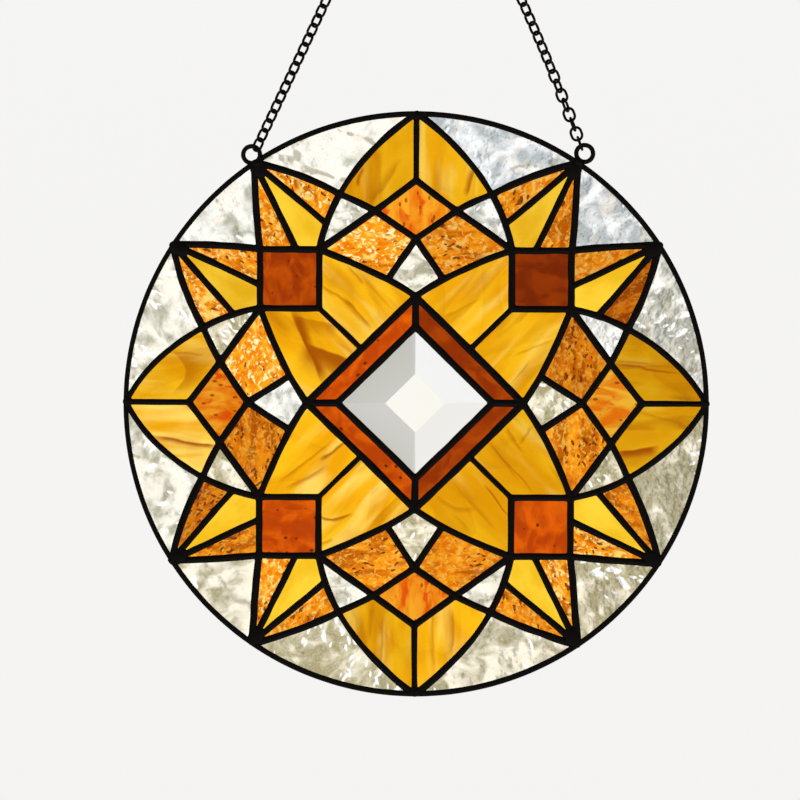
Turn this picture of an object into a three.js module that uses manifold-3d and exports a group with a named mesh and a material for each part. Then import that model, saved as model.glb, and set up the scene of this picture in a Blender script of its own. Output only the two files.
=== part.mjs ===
// Stained glass suncatcher: a copper-foil panel, 300 mm across, hung by two chains from one ring.
// Millimetres. +X is to the right, +Y is away from the viewer and +Z is up.
// The origin is where a hook carries the top ring, so the panel hangs below it.
import * as THREE from 'three';
import { mergeVertices } from 'three/addons/utils/BufferGeometryUtils.js';
import Module from 'manifold-3d';

const wasm = await Module();
wasm.setup();

// ---------------------------------------------------------------- sizes

const GAP = 0.3;               // clearance between pieces that touch
const DISC_RADIUS = 150;       // outside of the rim
const RIM = { width: 2.7, halfDepth: 2.5, web: 1, wall: 0.7, sides: 60 };
const GLASS = { halfDepth: 1.5, restGap: 0.1 };
const SOLDER = { coreHalf: 0.4, footHalf: 1.5, crestHalf: 0.6, crestDepth: 2.5 };
const BEVEL = { rise: 2.2, flatCorner: 15.2 };
const LOOP = { outer: 5.5, wire: 1.9, bearing: 33.8, out: 4.5, sides: 6, steps: 12 };
const BLOB = { across: 4, along: 3.6, deep: 3.9 };
const RING = { outer: 6.5, wire: 1.9, sides: 6, steps: 16 };
const LINK = { pitch: 5.4, width: 6.2, wire: 1, bite: 0.1, endBar: 2.8 };
const LINKS_PER_CHAIN = 36;
const TWISTED_LINKS = 9;

const PATTERN_RADIUS = 148.8;  // where the pattern's tips meet the rim
const STAR_BEARING = 33.56;    // star tips, in degrees from the nearest axis
const SQUARE_NEAR = 49;        // the corner squares run from near to far on both axes
const SQUARE_FAR = 79.3;
const BORDER_OUTER = 55.2;     // half-diagonals of the border round the bevel
const BORDER_INNER = 39.4;
const STAR_FOOT_SHARE = 0.39;  // where a star's outer seam meets the square's side
const STAR_FOOT_RISE = 0.05;   // and how far above it, so that no two panes' sides are in line
const VALLEY_SHARE = 0.55;     // and its inner seam the valley between star and leaf
const BOW = { leaf: 3.7, star: -1.7, valley: 1.3 };  // curved seams bow this far to the left

const radians = THREE.MathUtils.degToRad;

// ---------------------------------------------------------------- the pattern's corners

// Points lie in the plane of the panel, x to the right and y up, from the panel's centre.
const at = (x, y) => new THREE.Vector2(x, y);
const polar = (bearing, radius) => at(Math.sin(bearing), Math.cos(bearing)).multiplyScalar(radius);

function bowed(from, to, bow, share) {
  const way = to.clone().sub(from);
  const left = at(-way.y, way.x).normalize();
  return from.clone().addScaledVector(way, share).addScaledVector(left, bow * 4 * share * (1 - share));
}

// One eighth of the disc, from the vertical axis to the diagonal.
const CORNER = {
  bevelTip: at(0, BORDER_INNER),
  borderTip: at(0, BORDER_OUTER),
  borderMiddle: at(BORDER_OUTER / 2, BORDER_OUTER / 2),
  kiteSide: at(14.1, 63.9),
  kiteTip: at(0, 85.3),
  diamondSide: at(20.8, 99.6),
  diamondTip: at(0, 115.3),
  leafSide: at(38.7, 108.2),
  leafTip: polar(0, PATTERN_RADIUS),
  squareInner: at(SQUARE_NEAR, SQUARE_NEAR),
  squareSide: at(SQUARE_NEAR, SQUARE_FAR),
  squareOuter: at(SQUARE_FAR, SQUARE_FAR),
  starFoot: at(
    THREE.MathUtils.lerp(SQUARE_NEAR, SQUARE_FAR, STAR_FOOT_SHARE),
    SQUARE_FAR + STAR_FOOT_RISE,
  ),
  starTip: polar(radians(STAR_BEARING), PATTERN_RADIUS),
};
CORNER.leafUpper = bowed(CORNER.leafTip, CORNER.leafSide, BOW.leaf, 1 / 3);
CORNER.leafLower = bowed(CORNER.leafTip, CORNER.leafSide, BOW.leaf, 2 / 3);
CORNER.starBend = bowed(CORNER.starTip, CORNER.leafSide, BOW.star, 1 / 2);
CORNER.valley = bowed(CORNER.leafSide, CORNER.squareSide, BOW.valley, VALLEY_SHARE);

const corners = (...names) => names.map((name) => CORNER[name]);
const acrossAxis = (points) => points.map((p) => at(-p.x, p.y)).reverse();
const acrossDiagonal = (points) => points.map((p) => at(p.y, p.x)).reverse();
const quarterTurned = (points, turns) => (
  turns === 0 ? points : quarterTurned(points.map((p) => at(p.y, -p.x)), turns - 1)
);

// ---------------------------------------------------------------- outlines

function anticlockwise(outline) {
  return THREE.ShapeUtils.area(outline) < 0 ? outline.slice().reverse() : outline;
}

// Moves every side of an anticlockwise outline inwards by a distance, with mitred corners.
function inset(outline, distance) {
  const count = outline.length;
  return outline.map((corner, i) => {
    const before = corner.clone().sub(outline[(i + count - 1) % count]).normalize();
    const after = outline[(i + 1) % count].clone().sub(corner).normalize();
    const mitre = at(-before.y - after.y, before.x + after.x);
    return corner.clone().addScaledVector(mitre, (2 * distance) / mitre.lengthSq());
  });
}

// The glass edge under the rim, with a corner at each of the rim's facets between two bearings.
function rimStretch(fromBearing, toBearing) {
  const step = 360 / RIM.sides;
  const points = [];
  for (let turn = Math.floor(fromBearing / step) + 1; turn * step < toBearing; turn += 1) {
    points.push(polar(radians(turn * step), PATTERN_RADIUS));
  }
  return points;
}

// ---------------------------------------------------------------- panes and plates

const border = corners('bevelTip', 'borderTip');
const petalHalf = corners('borderTip', 'kiteSide', 'squareSide', 'squareInner', 'borderMiddle');
const petalSide = corners('borderTip', 'kiteSide', 'squareSide');
const clearKite = [...corners('borderTip', 'kiteSide', 'kiteTip'), ...acrossAxis(corners('kiteSide'))];
const orangeKite = corners('kiteTip', 'diamondSide', 'squareSide', 'kiteSide');
const fanSide = corners('kiteSide', 'squareSide', 'diamondSide');
const leafHalf = corners('leafTip', 'diamondTip', 'diamondSide', 'leafSide', 'leafLower', 'leafUpper');
const leafSide = corners('leafUpper', 'leafLower', 'leafSide', 'diamondSide');
const starPoint = corners('starTip', 'squareOuter', 'squareSide', 'valley', 'leafSide', 'starBend');
const triangle = corners('leafSide', 'diamondSide', 'squareSide', 'valley');

// A plate is one solid. Its panes are the openings between solder lines that show it, and panes
// of one kind that meet at a seam share a plate.
const PLATES_ON_DIAGONALS = [
  {
    stem: 'petal',
    glass: 'amber',
    outline: [...petalSide, ...corners('squareInner'), ...acrossDiagonal(petalSide)],
    panes: [petalHalf, acrossDiagonal(petalHalf)],
  },
  {
    stem: 'corner_square',
    glass: 'rust',
    outline: [...corners('squareInner', 'squareSide', 'squareOuter'), ...acrossDiagonal(corners('squareSide'))],
  },
  { stem: 'border_strip', glass: 'rust', outline: [...border, ...acrossDiagonal(border)] },
];
const PLATES_ON_AXES = [
  {
    stem: 'fan',
    glass: 'orange',
    outline: [...corners('borderTip'), ...fanSide, ...corners('kiteTip'), ...acrossAxis(fanSide)],
    panes: [clearKite, orangeKite, acrossAxis(orangeKite)],
  },
  {
    stem: 'diamond',
    glass: 'orange',
    outline: [...corners('kiteTip', 'diamondSide', 'diamondTip'), ...acrossAxis(corners('diamondSide'))],
  },
  {
    stem: 'leaf',
    glass: 'amber',
    outline: [...corners('leafTip'), ...leafSide, ...corners('diamondTip'), ...acrossAxis(leafSide)],
    panes: [leafHalf, acrossAxis(leafHalf)],
  },
];
const PLATES_IN_EIGHTHS = [
  {
    stem: 'star_point',
    glass: 'orange',
    outline: starPoint,
    panes: [
      corners('starTip', 'squareOuter', 'starFoot'),
      corners('starTip', 'starFoot', 'squareSide', 'valley'),
      corners('starTip', 'valley', 'leafSide', 'starBend'),
    ],
  },
  { stem: 'clear_triangle', glass: 'clear', outline: triangle },
];
const OUTER_ON_DIAGONALS = [{
  stem: 'outer_clear_corner',
  glass: 'clear',
  outline: [
    ...corners('squareOuter', 'starTip'),
    ...rimStretch(STAR_BEARING, 90 - STAR_BEARING),
    ...acrossDiagonal(corners('starTip')),
  ],
}];
const OUTER_IN_EIGHTHS = [{
  stem: 'outer_clear',
  glass: 'clear',
  outline: [
    ...corners('starTip', 'starBend', 'leafSide', 'leafLower', 'leafUpper', 'leafTip'),
    ...rimStretch(0, STAR_BEARING),
  ],
}];

// Quarter-turned copies of a plate. Names run clockwise from the first place.
function around(names, plate, mirror = (points) => points) {
  const placed = (points, turns) => anticlockwise(quarterTurned(mirror(points), turns));
  return names.map((name, turns) => ({
    name: `${plate.stem}_${name}`,
    glass: plate.glass,
    outline: placed(plate.outline, turns),
    panes: (plate.panes ?? [plate.outline]).map((pane) => placed(pane, turns)),
  }));
}
const onDiagonals = (plate) => around(['upper_right', 'lower_right', 'lower_left', 'upper_left'], plate);
const onAxes = (plate) => around(['top', 'right', 'bottom', 'left'], plate);
const inEighths = (plate) => [
  ...around(['top_right', 'right_bottom', 'bottom_left', 'left_top'], plate),
  ...around(['top_left', 'right_top', 'bottom_right', 'left_bottom'], plate, acrossAxis),
];

const BEVEL_OUTLINE = anticlockwise([0, 1, 2, 3].flatMap((turns) => quarterTurned(corners('bevelTip'), turns)));
const STAR_PLATES = [
  ...PLATES_ON_DIAGONALS.flatMap(onDiagonals),
  ...PLATES_ON_AXES.flatMap(onAxes),
  ...PLATES_IN_EIGHTHS.flatMap(inEighths),
];
const OUTER_PLATES = [
  ...OUTER_ON_DIAGONALS.flatMap(onDiagonals),
  ...OUTER_IN_EIGHTHS.flatMap(inEighths),
];

// The outside of the star pattern, from leaf tip to leaf tip.
const starEdge = corners('leafUpper', 'leafLower', 'leafSide', 'starBend', 'starTip');
const quarterEdge = [...corners('leafTip'), ...starEdge, ...corners('squareOuter'), ...acrossDiagonal(starEdge)];
const CONTOUR = anticlockwise([0, 1, 2, 3].flatMap((turns) => quarterTurned(quarterEdge, turns)));

// ---------------------------------------------------------------- solids

// Gathers the flat faces and walls of a solid, all in planes of constant depth.
class Shell {
  constructor() {
    this.positions = [];
  }

  triangle(a, b, c) {
    this.positions.push(...a, ...b, ...c);
  }

  // A flat face with holes. Facing is -1 towards the viewer and 1 away from it.
  sheet(depth, facing, outline, holes = []) {
    const points = [outline, ...holes].flat().map((p) => [p.x, depth, p.y]);
    THREE.ShapeUtils.triangulateShape(outline, holes).forEach((face) => {
      const [a, b, c] = facing < 0 ? face : face.slice().reverse();
      this.triangle(points[a], points[b], points[c]);
    });
  }

  // A wall between matching outlines at two depths, near and far. Its outside is to the right
  // of an anticlockwise outline, or to the left when it is turned inwards.
  wall(nearDepth, nearOutline, farDepth, farOutline, inwards = false) {
    nearOutline.forEach((corner, i) => {
      const next = (i + 1) % nearOutline.length;
      const near = [corner, nearOutline[next]].map((p) => [p.x, nearDepth, p.y]);
      const far = [farOutline[i], farOutline[next]].map((p) => [p.x, farDepth, p.y]);
      const [left, right] = inwards ? [1, 0] : [0, 1];
      this.triangle(near[left], far[left], near[right]);
      this.triangle(near[right], far[left], far[right]);
    });
  }

  geometry() {
    const geometry = new THREE.BufferGeometry();
    geometry.setAttribute('position', new THREE.Float32BufferAttribute(this.positions, 3));
    return mergeVertices(geometry, 1e-4);
  }
}

function solid(geometry) {
  const bare = geometry.clone();
  bare.deleteAttribute('normal');
  bare.deleteAttribute('uv');
  const merged = mergeVertices(bare, 1e-4);
  return new wasm.Manifold(new wasm.Mesh({
    numProp: 3,
    vertProperties: new Float32Array(merged.attributes.position.array),
    triVerts: new Uint32Array(merged.index.array),
  }));
}

function geometryOf(manifold) {
  const mesh = manifold.getMesh();
  const geometry = new THREE.BufferGeometry();
  geometry.setAttribute('position', new THREE.Float32BufferAttribute(mesh.vertProperties, 3));
  geometry.setIndex(Array.from(mesh.triVerts));
  return geometry;
}

const lathed = (profile) => new THREE.LatheGeometry(profile.map(([radius, y]) => at(radius, y)), RIM.sides);
const drum = (radius, halfDepth) => lathed([
  [0, -halfDepth],
  [radius, -halfDepth],
  [radius, halfDepth],
  [0, halfDepth],
]);

// ---------------------------------------------------------------- the panel

const glassEdge = (outline) => inset(outline, SOLDER.coreHalf + GAP);

function flatPlate(outline) {
  const edge = glassEdge(outline);
  const shell = new Shell();
  shell.sheet(-GLASS.halfDepth, -1, edge);
  shell.wall(-GLASS.halfDepth, edge, GLASS.halfDepth, edge);
  shell.sheet(GLASS.halfDepth, 1, edge);
  return shell.geometry();
}

// The bevel's front slopes up from the solder to a small raised square.
function bevelledPlate() {
  const edge = glassEdge(BEVEL_OUTLINE);
  const slopeFoot = inset(BEVEL_OUTLINE, SOLDER.footHalf + GAP);
  const raised = inset(BEVEL_OUTLINE, (BORDER_INNER - BEVEL.flatCorner) / Math.SQRT2);
  const raisedDepth = -GLASS.halfDepth - BEVEL.rise;
  const shell = new Shell();
  shell.sheet(raisedDepth, -1, raised);
  shell.wall(raisedDepth, raised, -GLASS.halfDepth, slopeFoot);
  shell.sheet(-GLASS.halfDepth, -1, edge, [slopeFoot]);
  shell.wall(-GLASS.halfDepth, edge, GLASS.halfDepth, edge);
  shell.sheet(GLASS.halfDepth, 1, edge);
  return shell.geometry();
}

// Thin seams of solder between the plates carry a wider bead on both faces of the glass. A bead's
// sides lean in from its foot, which rests on the glass, to its flat crest.
function solderLattice() {
  const shell = new Shell();
  const foot = GLASS.halfDepth + GLASS.restGap;
  const pockets = [{ outline: BEVEL_OUTLINE, panes: [BEVEL_OUTLINE] }, ...STAR_PLATES];
  const panes = pockets.flatMap((pocket) => pocket.panes);
  const outside = (half) => inset(CONTOUR, -half);
  const bead = (outline, sign, inwards) => {
    const crests = inset(outline, sign * SOLDER.crestHalf);
    const feet = inset(outline, sign * SOLDER.footHalf);
    shell.wall(-SOLDER.crestDepth, crests, -foot, feet, inwards);
    shell.wall(foot, feet, SOLDER.crestDepth, crests, inwards);
  };
  bead(CONTOUR, -1, false);
  panes.forEach((pane) => bead(pane, 1, true));
  const crestHoles = panes.map((pane) => inset(pane, SOLDER.crestHalf));
  [-1, 1].forEach((side) => {
    shell.sheet(side * SOLDER.crestDepth, side, outside(SOLDER.crestHalf), crestHoles);
    shell.sheet(side * foot, -side, outside(SOLDER.footHalf), [outside(SOLDER.coreHalf)]);
    pockets.forEach((pocket) => {
      const shown = pocket.panes.map((pane) => inset(pane, SOLDER.footHalf));
      shell.sheet(side * foot, -side, inset(pocket.outline, SOLDER.coreHalf), shown);
    });
  });
  shell.wall(-foot, outside(SOLDER.coreHalf), foot, outside(SOLDER.coreHalf));
  pockets.forEach(({ outline }) => {
    const seam = inset(outline, SOLDER.coreHalf);
    shell.wall(-foot, seam, foot, seam, true);
  });
  const insideRim = drum(DISC_RADIUS - RIM.width - GAP, SOLDER.crestDepth + 1);
  return geometryOf(solid(shell.geometry()).intersect(solid(insideRim)));
}

// A U-shaped came, open towards the glass.
function rim() {
  const inner = DISC_RADIUS - RIM.width;
  const channel = RIM.halfDepth - RIM.wall;
  return lathed([
    [inner, -RIM.halfDepth],
    [DISC_RADIUS, -RIM.halfDepth],
    [DISC_RADIUS, RIM.halfDepth],
    [inner, RIM.halfDepth],
    [inner, channel],
    [DISC_RADIUS - RIM.web, channel],
    [DISC_RADIUS - RIM.web, -channel],
    [inner, -channel],
    [inner, -RIM.halfDepth],
  ]);
}

// ---------------------------------------------------------------- what it hangs by

const wireRing = ({ outer, wire, sides, steps }) => (
  new THREE.TorusGeometry(outer - wire / 2, wire / 2, sides, steps).rotateX(Math.PI / 2)
);
const loopCentre = polar(radians(LOOP.bearing), DISC_RADIUS + LOOP.out);

// A wire ring whose foot is held by a blob of solder that saddles the rim.
function hangingLoop() {
  const blob = new THREE.SphereGeometry(1, 8, 6).scale(BLOB.across, BLOB.deep, BLOB.along);
  const rimRoom = drum(DISC_RADIUS + GAP, RIM.halfDepth + GAP).translate(0, 0, -DISC_RADIUS - LOOP.out);
  const wire = solid(wireRing(LOOP));
  return geometryOf(wire.add(solid(blob.translate(0, 0, -LOOP.out))).subtract(solid(rimRoom)));
}

// The first and last links hang round the wire of a ring, clear of it on all sides.
const linkEnd = (LINK.pitch + LINK.wire) / 2;
const reachFrom = (ring) => ring.outer - ring.wire - LINK.wire / 2 - 2 * GAP + linkEnd;
const chainLength = reachFrom(LOOP) + reachFrom(RING) + LINK.pitch * (LINKS_PER_CHAIN - 1);
const chainLean = Math.asin(loopCentre.x / chainLength);
const ringHeight = chainLength * Math.cos(chainLean);

// A six-sided link of three-sided wire, whose inner ridge beds slightly in the next link's.
function link() {
  const hexagon = (end, side) => [
    at(LINK.endBar / 2, end),
    at(-LINK.endBar / 2, end),
    at(-side, 0),
    at(-LINK.endBar / 2, -end),
    at(LINK.endBar / 2, -end),
    at(side, 0),
  ];
  const half = LINK.wire / 2;
  const ridge = hexagon(linkEnd - half - LINK.bite / 2, LINK.width / 2 - LINK.wire);
  const back = hexagon(linkEnd + half, LINK.width / 2);
  const shell = new Shell();
  shell.wall(-half, back, half, back);
  shell.wall(half, back, 0, ridge);
  shell.wall(0, ridge, -half, back);
  return shell.geometry();
}

// Links stand a quarter turn from one another. A twisted chain starts square to the panel, and
// the twist dies out along it.
function linkTurn(index, twisted) {
  const slack = twisted ? 1 - Math.min(index / TWISTED_LINKS, 1) : 0;
  return (Math.PI / 4) * (1 + slack + 2 * index);
}

function chain(twisted) {
  const links = Array.from({ length: LINKS_PER_CHAIN }, (_, index) => {
    const height = reachFrom(LOOP) + index * LINK.pitch;
    return solid(link().rotateZ(linkTurn(index, twisted)).translate(0, 0, height));
  });
  return geometryOf(links.reduce((whole, next) => whole.add(next)));
}

// ---------------------------------------------------------------- materials

function glassFinish(color, opacity) {
  return new THREE.MeshStandardMaterial({
    color,
    opacity,
    transparent: true,
    roughness: 0.1,
    metalness: 0,
  });
}
const FINISH = {
  amber: () => glassFinish(0xf2b01c, 0.9),
  orange: () => glassFinish(0xe07a12, 0.9),
  rust: () => glassFinish(0xb84a0a, 0.9),
  clear: () => glassFinish(0xe8ecec, 0.45),
  solder: () => new THREE.MeshStandardMaterial({ color: 0x141312, roughness: 0.45, metalness: 0.8 }),
  wire: () => new THREE.MeshStandardMaterial({ color: 0x121212, roughness: 0.4, metalness: 0.9 }),
};

// ---------------------------------------------------------------- assembly

const panel = new THREE.Group();

function addPiece(name, geometry, finish) {
  const mesh = new THREE.Mesh(geometry, FINISH[finish]());
  mesh.name = name;
  panel.add(mesh);
  return mesh;
}

addPiece('bevel_centre', bevelledPlate(), 'clear');
[...STAR_PLATES, ...OUTER_PLATES].forEach(({ name, glass, outline }) => {
  addPiece(name, flatPlate(outline), glass);
});
addPiece('solder_lattice', solderLattice(), 'solder');
addPiece('rim', rim(), 'solder');

[['left', -1], ['right', 1]].forEach(([side, sign]) => {
  const loop = addPiece(`hanging_loop_${side}`, hangingLoop(), 'wire');
  loop.position.set(sign * loopCentre.x, 0, loopCentre.y);
  loop.rotation.y = sign * radians(LOOP.bearing);
  const links = addPiece(`chain_${side}`, chain(sign > 0), 'wire');
  links.position.copy(loop.position);
  links.rotation.y = -sign * chainLean;
});
addPiece('hook_ring', wireRing(RING), 'wire').position.z = loopCentre.y + ringHeight;

// The hook carries the ring by the inside of its top.
panel.position.z = -(loopCentre.y + ringHeight + RING.outer - RING.wire);

const suncatcher = new THREE.Group();
suncatcher.add(panel);

export default suncatcher;
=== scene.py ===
import math

import bmesh
import bpy
import numpy as np
from mathutils import Matrix, Vector
from mathutils.geometry import delaunay_2d_cdt


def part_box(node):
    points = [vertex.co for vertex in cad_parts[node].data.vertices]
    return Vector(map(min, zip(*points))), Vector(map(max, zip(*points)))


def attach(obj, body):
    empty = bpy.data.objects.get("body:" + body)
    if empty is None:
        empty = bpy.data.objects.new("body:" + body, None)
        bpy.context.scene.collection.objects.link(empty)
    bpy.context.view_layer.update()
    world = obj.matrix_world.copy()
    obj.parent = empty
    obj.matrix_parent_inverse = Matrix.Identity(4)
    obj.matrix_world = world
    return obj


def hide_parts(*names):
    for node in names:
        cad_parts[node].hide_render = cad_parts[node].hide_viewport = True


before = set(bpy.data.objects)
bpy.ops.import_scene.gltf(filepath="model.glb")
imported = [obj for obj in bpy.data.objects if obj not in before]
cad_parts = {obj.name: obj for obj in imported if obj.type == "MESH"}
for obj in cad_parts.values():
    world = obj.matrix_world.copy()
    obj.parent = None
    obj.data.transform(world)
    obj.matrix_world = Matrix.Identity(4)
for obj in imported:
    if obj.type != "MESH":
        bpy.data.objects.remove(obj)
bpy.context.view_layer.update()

# Sizes are in millimetres from the panel's centre, x to the right and z up, until a mesh is made.
MM = 0.001
RIM_LOW, RIM_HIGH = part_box("rim")
DISC_RADIUS = (RIM_HIGH.x - RIM_LOW.x) / 2 / MM
CENTRE_Z = (RIM_LOW.z + RIM_HIGH.z) / 2
RIM_HALF_DEPTH = RIM_HIGH.y / MM
RIM_WIDTH = 2.7
GLASS_HALF = 1.5
CREST = 2.5                    # the solder's highest point in front of and behind the middle
FOOT_DEPTH = 1.35              # its foot is pressed into the glass this far from the middle
CORE_SHARE = 0.25              # the seam between panes, as a share of the bead's half width
GLASS_SHARE = 0.46             # the edge of the glass under the bead, as the same share

# ---------------- the pattern

PATTERN_RADIUS = 148.8         # where the seams run out under the rim
STAR_BEARING = math.radians(33.56)
SQUARE_NEAR, SQUARE_FAR = 49.0, 79.3      # the corner squares' edges, from either axis
BORDER_OUTER, BORDER_INNER = 55.2, 39.4   # the tips of the border round the bevel
STAR_FOOT_SHARE = 0.39         # where on the square's side a star's outer seam ends
VALLEY_SHARE = 0.55            # where between leaf side and square side its inner seam ends
BOW_LEAF, BOW_STAR, BOW_VALLEY, BOW_SQUARE_SIDE, BOW_KITE = 3.7, -1.7, 1.3, 0.5, 0.5


def polar(bearing, radius):
    return np.array([math.sin(bearing), math.cos(bearing)]) * radius


def left_of(way):
    return np.array([-way[1], way[0]]) / math.hypot(*way)


def bowed(p, q, bow, share):
    return p + (q - p) * share + left_of(q - p) * bow * 4 * share * (1 - share)


def rim_bow(angle):
    """The bow of the rim over this angle, going anticlockwise."""
    return -PATTERN_RADIUS * (1 - math.cos(angle / 2))


def corner_points():
    """The pattern's corners in one eighth of the panel, from the vertical axis to the diagonal."""
    c = {
        "bevel_tip": (0, BORDER_INNER),
        "bevel_middle": (BORDER_INNER / 2, BORDER_INNER / 2),
        "border_tip": (0, BORDER_OUTER),
        "border_middle": (BORDER_OUTER / 2, BORDER_OUTER / 2),
        "kite_side": (14.1, 63.9),
        "kite_tip": (0, 85.3),
        "diamond_side": (20.8, 99.6),
        "diamond_tip": (0, 115.3),
        "leaf_side": (38.7, 108.2),
        "square_inner": (SQUARE_NEAR, SQUARE_NEAR),
        "square_side": (SQUARE_NEAR, SQUARE_FAR),
        "square_outer": (SQUARE_FAR, SQUARE_FAR),
        "star_foot": (SQUARE_NEAR + (SQUARE_FAR - SQUARE_NEAR) * STAR_FOOT_SHARE, SQUARE_FAR),
        "leaf_tip": polar(0, PATTERN_RADIUS),
        "star_tip": polar(STAR_BEARING, PATTERN_RADIUS),
        "rim_corner": polar(math.pi / 4, PATTERN_RADIUS),
    }
    c = {name: np.array(point, dtype=float) for name, point in c.items()}
    c["valley"] = bowed(c["leaf_side"], c["square_side"], BOW_VALLEY, VALLEY_SHARE)
    return c


CORNERS = corner_points()

# Half widths of the solder lines.
FINE, MEDIUM, BROAD, UNDER_RIM = 1.4, 1.74, 1.85, 1.3

# Each seam from one corner to the next: its bow to the left and its half width.
SEAMS = {
    ("bevel_tip", "bevel_middle"): (0, 1.8),
    ("bevel_tip", "border_tip"): (0, 1.8),
    ("border_tip", "border_middle"): (0, 1.85),
    ("border_tip", "kite_side"): (0.2, MEDIUM),
    ("kite_side", "square_side"): (BOW_KITE, MEDIUM),
    ("square_inner", "border_middle"): (0, FINE),
    ("square_inner", "square_side"): (0, MEDIUM),
    ("square_side", "star_foot"): (0, MEDIUM),
    ("star_foot", "square_outer"): (0, MEDIUM),
    ("kite_side", "kite_tip"): (0, MEDIUM),
    ("kite_tip", "diamond_side"): (0, MEDIUM),
    ("diamond_side", "square_side"): (0, 1.8),
    ("diamond_side", "diamond_tip"): (0, MEDIUM),
    ("diamond_side", "leaf_side"): (0.3, MEDIUM),
    ("diamond_tip", "leaf_tip"): (0, 1.5),
    ("leaf_tip", "leaf_side"): (BOW_LEAF, 1.55),
    ("leaf_side", "valley"): (BOW_VALLEY * VALLEY_SHARE**2, MEDIUM),
    ("valley", "square_side"): (BOW_VALLEY * (1 - VALLEY_SHARE) ** 2, MEDIUM),
    ("star_tip", "leaf_side"): (BOW_STAR, BROAD),
    ("star_tip", "valley"): (0, 1.7),
    ("star_tip", "star_foot"): (0, 1.7),
    ("star_tip", "square_outer"): (BOW_SQUARE_SIDE, BROAD),
    ("star_tip", "leaf_tip"): (rim_bow(STAR_BEARING), UNDER_RIM),
    ("rim_corner", "star_tip"): (rim_bow(math.pi / 4 - STAR_BEARING), UNDER_RIM),
}

# Panes by kind: corners in order, where a prime marks the mirror image across the pane's own
# middle line, and that line: the axis, the diagonal, or none for a pane that has a twin.
PANES = {
    "bevel": (["bevel_tip", "bevel_middle"], "whole"),
    "border_strip": (
        ["bevel_tip", "border_tip", "border_middle", "border_tip'", "bevel_tip'", "bevel_middle"],
        "diagonal",
    ),
    "petal": (["border_tip", "kite_side", "square_side", "square_inner", "border_middle"], "none"),
    "corner_square": (
        ["square_inner", "square_side", "star_foot", "square_outer", "star_foot'", "square_side'"],
        "diagonal",
    ),
    "clear_kite": (["border_tip", "kite_side", "kite_tip", "kite_side'"], "axis"),
    "orange_kite": (["kite_tip", "diamond_side", "square_side", "kite_side"], "none"),
    "diamond": (["kite_tip", "diamond_side", "diamond_tip", "diamond_side'"], "axis"),
    "clear_triangle": (["leaf_side", "diamond_side", "square_side", "valley"], "none"),
    "leaf": (["leaf_tip", "diamond_tip", "diamond_side", "leaf_side"], "none"),
    "star_outer": (["star_tip", "square_outer", "star_foot"], "none"),
    "star_yellow": (["star_tip", "star_foot", "square_side", "valley"], "none"),
    "star_inner": (["star_tip", "valley", "leaf_side"], "none"),
    "outer_clear": (["leaf_tip", "leaf_side", "star_tip"], "none"),
    "outer_clear_corner": (["star_tip", "square_outer", "star_tip'", "rim_corner"], "diagonal"),
}
AXIS_NAMES = ["top", "right", "bottom", "left"]
DIAGONAL_NAMES = ["upper_right", "lower_right", "lower_left", "upper_left"]
TWIN_NAMES = ["top_right", "right_bottom", "bottom_left", "left_top"]
MIRRORED_TWIN_NAMES = ["top_left", "right_top", "bottom_right", "left_bottom"]
TWIN_DIAGONAL = dict(zip(TWIN_NAMES + MIRRORED_TWIN_NAMES, DIAGONAL_NAMES * 2))
MIRROR = {
    "axis": np.array([[-1.0, 0.0], [0.0, 1.0]]),
    "diagonal": np.array([[0.0, 1.0], [1.0, 0.0]]),
}
QUARTER_TURN = np.array([[0.0, 1.0], [-1.0, 0.0]])


class Side:
    """One side of a pane: a bowed line on a seam's centre, and the seam's half width."""

    def __init__(self, p, q, bow, half):
        self.p, self.q, self.bow, self.half = p, q, bow, half
        self.under_rim = half == UNDER_RIM

    def reversed(self):
        return Side(self.q, self.p, -self.bow, self.half)

    def moved(self, matrix):
        bow = -self.bow if np.linalg.det(matrix) < 0 else self.bow
        return Side(matrix @ self.p, matrix @ self.q, bow, self.half)

    def direction(self, at_end):
        way = self.q - self.p
        rise = left_of(way) * 4 * self.bow * (-1 if at_end else 1)
        return (way + rise) / math.hypot(*(way + rise))


def pane_sides(corners, mirror):
    """A pane's sides in its own eighth, or across that eighth's edge."""
    sides = []
    for a, b in zip(corners, corners[1:] + corners[:1]):
        plain_a, plain_b = a.rstrip("'"), b.rstrip("'")
        swapped = (plain_a, plain_b) not in SEAMS
        key = (plain_b, plain_a) if swapped else (plain_a, plain_b)
        side = Side(CORNERS[key[0]], CORNERS[key[1]], *SEAMS[key])
        side = side.reversed() if swapped else side
        sides.append(side.moved(MIRROR[mirror]) if "'" in a + b else side)
    return sides


def anticlockwise(sides):
    area = sum(s.p[0] * s.q[1] - s.p[1] * s.q[0] for s in sides)
    return sides if area > 0 else [side.reversed() for side in reversed(sides)]


def place_panes():
    """Every pane of the panel as (kind, place name, index in its ring, matrix, sides)."""
    placed = []
    turned = [np.linalg.matrix_power(QUARTER_TURN, turns) for turns in range(4)]
    for kind, (corners, mirror) in PANES.items():
        if mirror == "whole":
            half = pane_sides(corners, "axis")[:1]
            half = half + [side.moved(MIRROR["diagonal"]).reversed() for side in half]
            sides = [side.moved(matrix) for matrix in turned for side in half]
            placed.append((kind, "centre", 0, np.eye(2), anticlockwise(sides)))
            continue
        sides = pane_sides(corners, mirror)
        names = {"axis": AXIS_NAMES, "diagonal": DIAGONAL_NAMES, "none": TWIN_NAMES}[mirror]
        places = list(zip(names, turned))
        if mirror == "none":
            mirrored = [matrix @ MIRROR["axis"] for matrix in turned]
            places += zip(MIRRORED_TWIN_NAMES, mirrored)
        for index, (name, matrix) in enumerate(places):
            placed.append((kind, name, index, matrix, anticlockwise([s.moved(matrix) for s in sides])))
    return placed


# ---------------- smooth noise


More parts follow.
